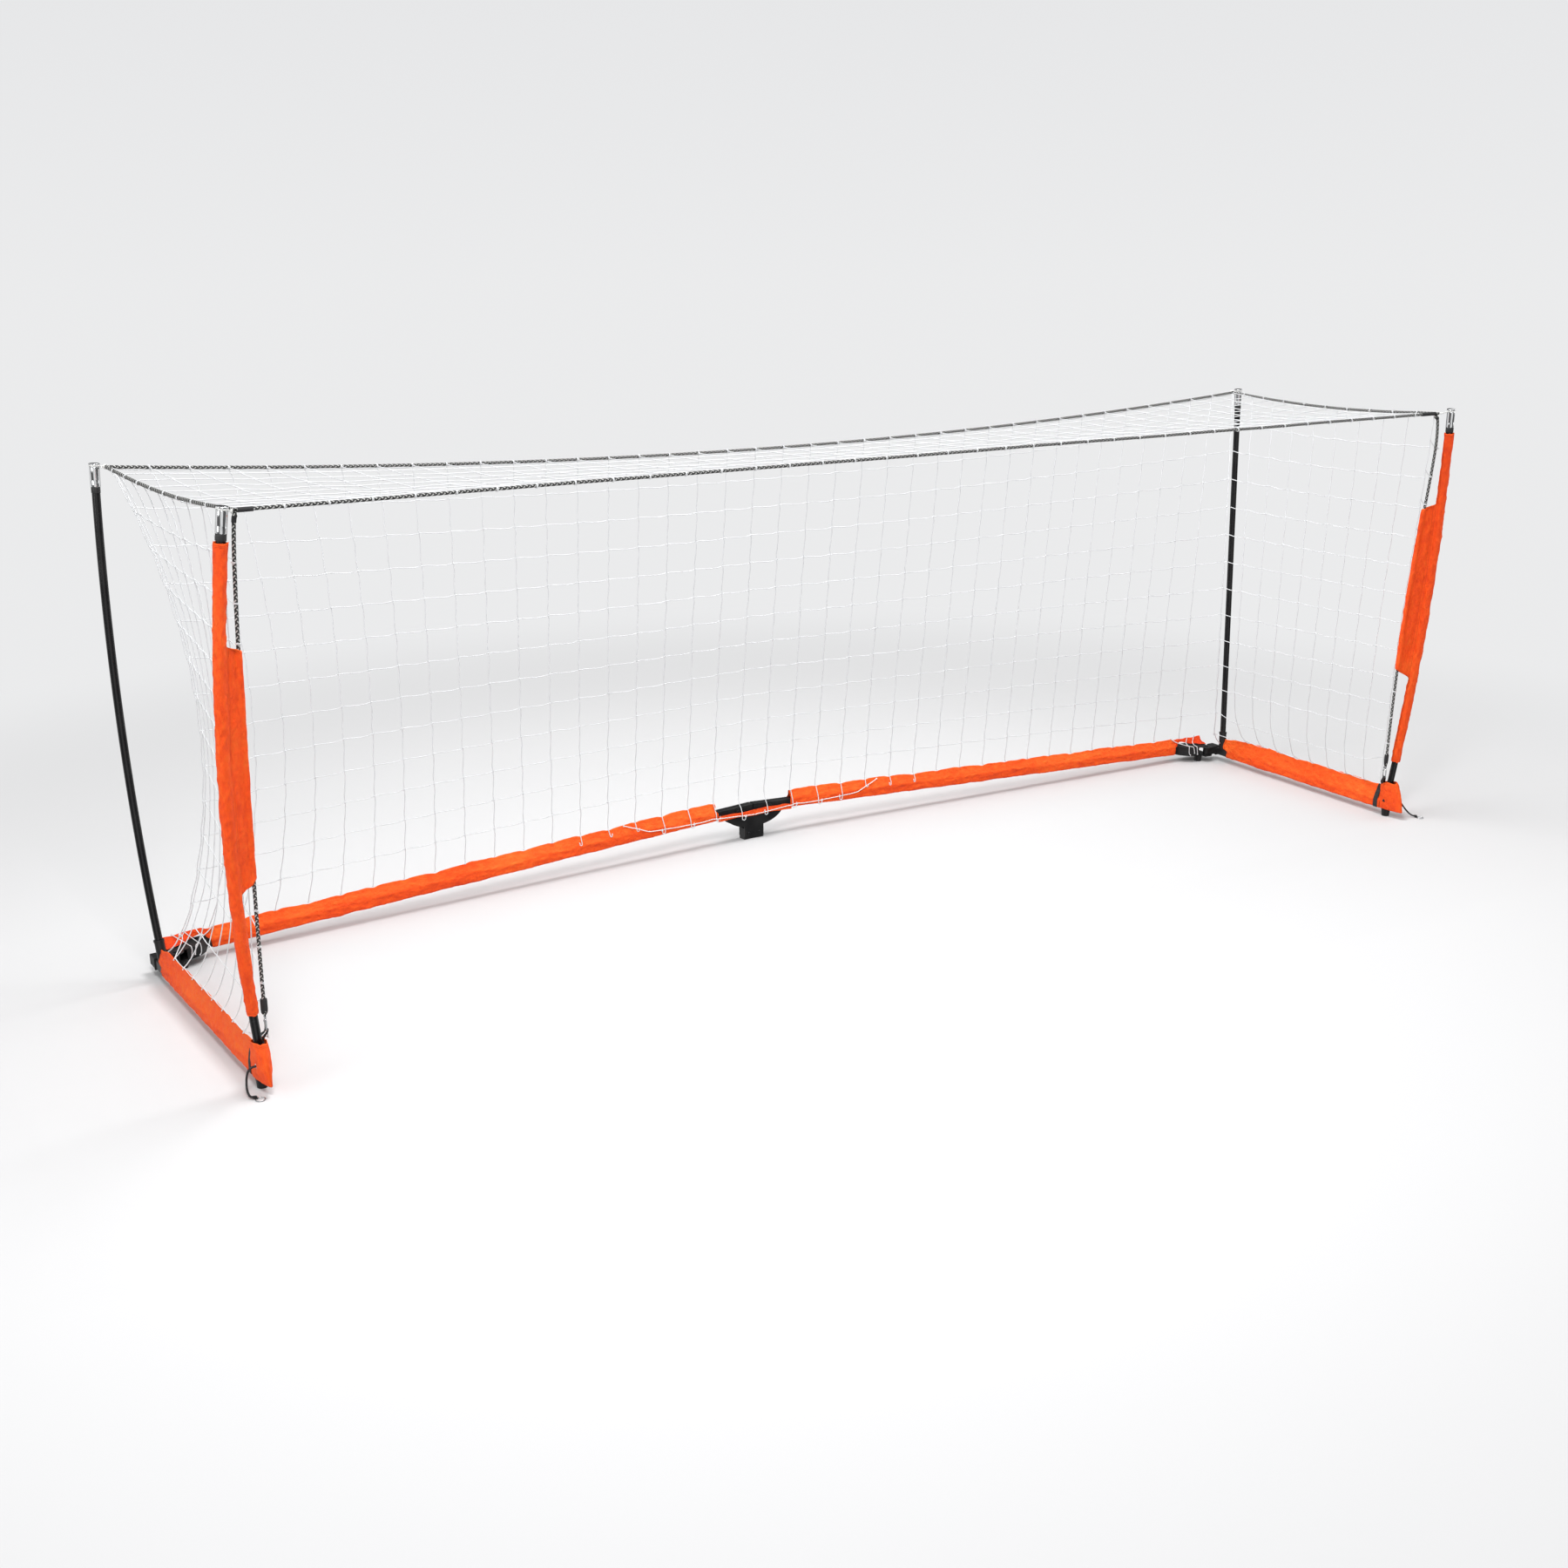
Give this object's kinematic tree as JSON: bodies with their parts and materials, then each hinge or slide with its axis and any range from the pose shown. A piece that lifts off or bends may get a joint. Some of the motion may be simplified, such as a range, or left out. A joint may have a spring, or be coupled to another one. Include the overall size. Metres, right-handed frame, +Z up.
{
  "type": "portable folding goal frame with net",
  "caption": "Portable folding goal: hinged steel base, sprung poles in sockets, roped white net, orange padded sleeves and ground stake rings.",
  "frame": {"origin": "on the ground, in the middle of the goal's footprint", "axes": "+X along the goal mouth's width, -Y out through the mouth, +Z up"},
  "size_m": [5.8548, 1.6505, 2.0026],
  "materials": {
    "powder_black": "satin black powder coat",
    "plastic_black": "fine moulded grain",
    "pole_black": "satin gloss fibre pole",
    "bolt_black": "black oxide",
    "zinc": "bright zinc",
    "chrome": "polished",
    "cloth_orange": "woven coated cloth, creased",
    "webbing_black": "woven webbing",
    "net_white": "knotted braided twine",
    "rope_fleck": "braid of black and white yarns",
    "cord_white": "braided cord",
    "cord_black": "braided cord"
  },
  "bodies": {
    "centre_hub": {"hub_front_plate": "powder_black", "hub_rear_plate": "powder_black", "hub_foot": "plastic_black", "hub_bolts": "bolt_black", "hub_nuts": "bolt_black", "hub_cloth_strip": "cloth_orange", "net_back": "net_white", "net_roof": "net_white", "front_top_rope": "rope_fleck", "rear_top_rope": "rope_fleck", "net_lacing_cord": "cord_white"},
    "left_bar": {"rear_tube_left": "powder_black", "corner_top_plate_left": "plastic_black", "corner_bottom_plate_left": "plastic_black", "corner_foot_left": "plastic_black", "corner_bolts_left": "zinc", "rear_sleeve_left": "cloth_orange"},
    "left_side": {"side_tube_left": "powder_black", "hinge_block_left": "plastic_black", "pole_sockets_left": "powder_black", "front_foot_left": "plastic_black", "side_sleeve_left": "cloth_orange", "front_hood_left": "cloth_orange", "eyelet_left": "chrome", "webbing_strap_left": "webbing_black", "snap_hook_left": "chrome", "border_rope_left": "rope_fleck", "pole_sleeve_left": "cloth_orange", "net_side_left": "net_white", "elastic_ties_left": "cord_white", "stake_cord_left": "cord_black", "stake_ring_left": "zinc"},
    "left_front_pole": {"front_pole_left": "pole_black"},
    "left_rear_pole": {"rear_pole_left": "pole_black"},
    "left_snap_gate": {"snap_gate_left": "chrome"},
    "right_bar": {"rear_tube_right": "powder_black", "corner_top_plate_right": "plastic_black", "corner_bottom_plate_right": "plastic_black", "corner_foot_right": "plastic_black", "corner_bolts_right": "zinc", "rear_sleeve_right": "cloth_orange"},
    "right_side": {"side_tube_right": "powder_black", "hinge_block_right": "plastic_black", "pole_sockets_right": "powder_black", "front_foot_right": "plastic_black", "side_sleeve_right": "cloth_orange", "front_hood_right": "cloth_orange", "eyelet_right": "chrome", "webbing_strap_right": "webbing_black", "snap_hook_right": "chrome", "border_rope_right": "rope_fleck", "pole_sleeve_right": "cloth_orange", "net_side_right": "net_white", "elastic_ties_right": "cord_white", "stake_cord_right": "cord_black", "stake_ring_right": "zinc"},
    "right_front_pole": {"front_pole_right": "pole_black"},
    "right_rear_pole": {"rear_pole_right": "pole_black"},
    "right_snap_gate": {"snap_gate_right": "chrome"}
  },
  "joints": [
    {"name": "left_bar_fold", "type": "hinge", "parent": "centre_hub", "child": "left_bar", "pos_m": [-0.09, 0.7881, 0.15], "axis": [-0.0466, 0.9989, 0], "range_deg": [0, 90], "deforming": ["net_back", "net_roof", "front_top_rope", "rear_top_rope", "net_lacing_cord", "hub_cloth_strip", "border_rope_left", "net_side_left", "pole_sleeve_left"]},
    {"name": "left_side_fold", "type": "hinge", "parent": "left_bar", "child": "left_side", "pos_m": [-2.7885, 0.5771, 0.057], "axis": [-0.0343, -0.0016, 0.9994], "range_deg": [0, 90], "deforming": ["net_back", "net_roof", "front_top_rope", "rear_top_rope", "net_lacing_cord", "border_rope_left", "net_side_left"]},
    {"name": "left_front_pole_pull", "type": "slide", "parent": "left_side", "child": "left_front_pole", "axis": [-0.1129, -0.0841, 0.99], "range_m": [0, 0.12], "deforming": ["pole_sleeve_left", "elastic_ties_left", "border_rope_left", "net_side_left", "net_roof", "front_top_rope"]},
    {"name": "left_rear_pole_pull", "type": "slide", "parent": "left_side", "child": "left_rear_pole", "axis": [-0.0743, 0.0981, 0.9924], "range_m": [0, 0.12], "deforming": ["elastic_ties_left", "border_rope_left", "net_side_left", "net_roof", "net_back", "rear_top_rope"]},
    {"name": "left_snap_gate_swing", "type": "hinge", "parent": "left_side", "child": "left_snap_gate", "pos_m": [-2.787, -0.6294, 0.2315], "axis": [1, 0, 0], "range_deg": [-28, 0], "stiffness_Nm_per_rad": 0.02},
    {"name": "right_bar_fold", "type": "hinge", "parent": "centre_hub", "child": "right_bar", "pos_m": [0.09, 0.7881, 0.15], "axis": [0.0466, 0.9989, 0], "range_deg": [-90, 0], "deforming": ["net_back", "net_roof", "front_top_rope", "rear_top_rope", "net_lacing_cord", "hub_cloth_strip", "border_rope_right", "net_side_right", "pole_sleeve_right"]},
    {"name": "right_side_fold", "type": "hinge", "parent": "right_bar", "child": "right_side", "pos_m": [2.7885, 0.5771, 0.057], "axis": [0.0343, -0.0016, 0.9994], "range_deg": [-90, 0], "deforming": ["net_back", "net_roof", "front_top_rope", "rear_top_rope", "net_lacing_cord", "border_rope_right", "net_side_right"]},
    {"name": "right_front_pole_pull", "type": "slide", "parent": "right_side", "child": "right_front_pole", "axis": [0.1129, -0.0841, 0.99], "range_m": [0, 0.12], "deforming": ["pole_sleeve_right", "elastic_ties_right", "border_rope_right", "net_side_right", "net_roof", "front_top_rope"]},
    {"name": "right_rear_pole_pull", "type": "slide", "parent": "right_side", "child": "right_rear_pole", "axis": [0.0743, 0.0981, 0.9924], "range_m": [0, 0.12], "deforming": ["elastic_ties_right", "border_rope_right", "net_side_right", "net_roof", "net_back", "rear_top_rope"]},
    {"name": "right_snap_gate_swing", "type": "hinge", "parent": "right_side", "child": "right_snap_gate", "pos_m": [2.787, -0.6294, 0.2315], "axis": [1, 0, 0], "range_deg": [-28, 0], "stiffness_Nm_per_rad": 0.02}
  ]
}
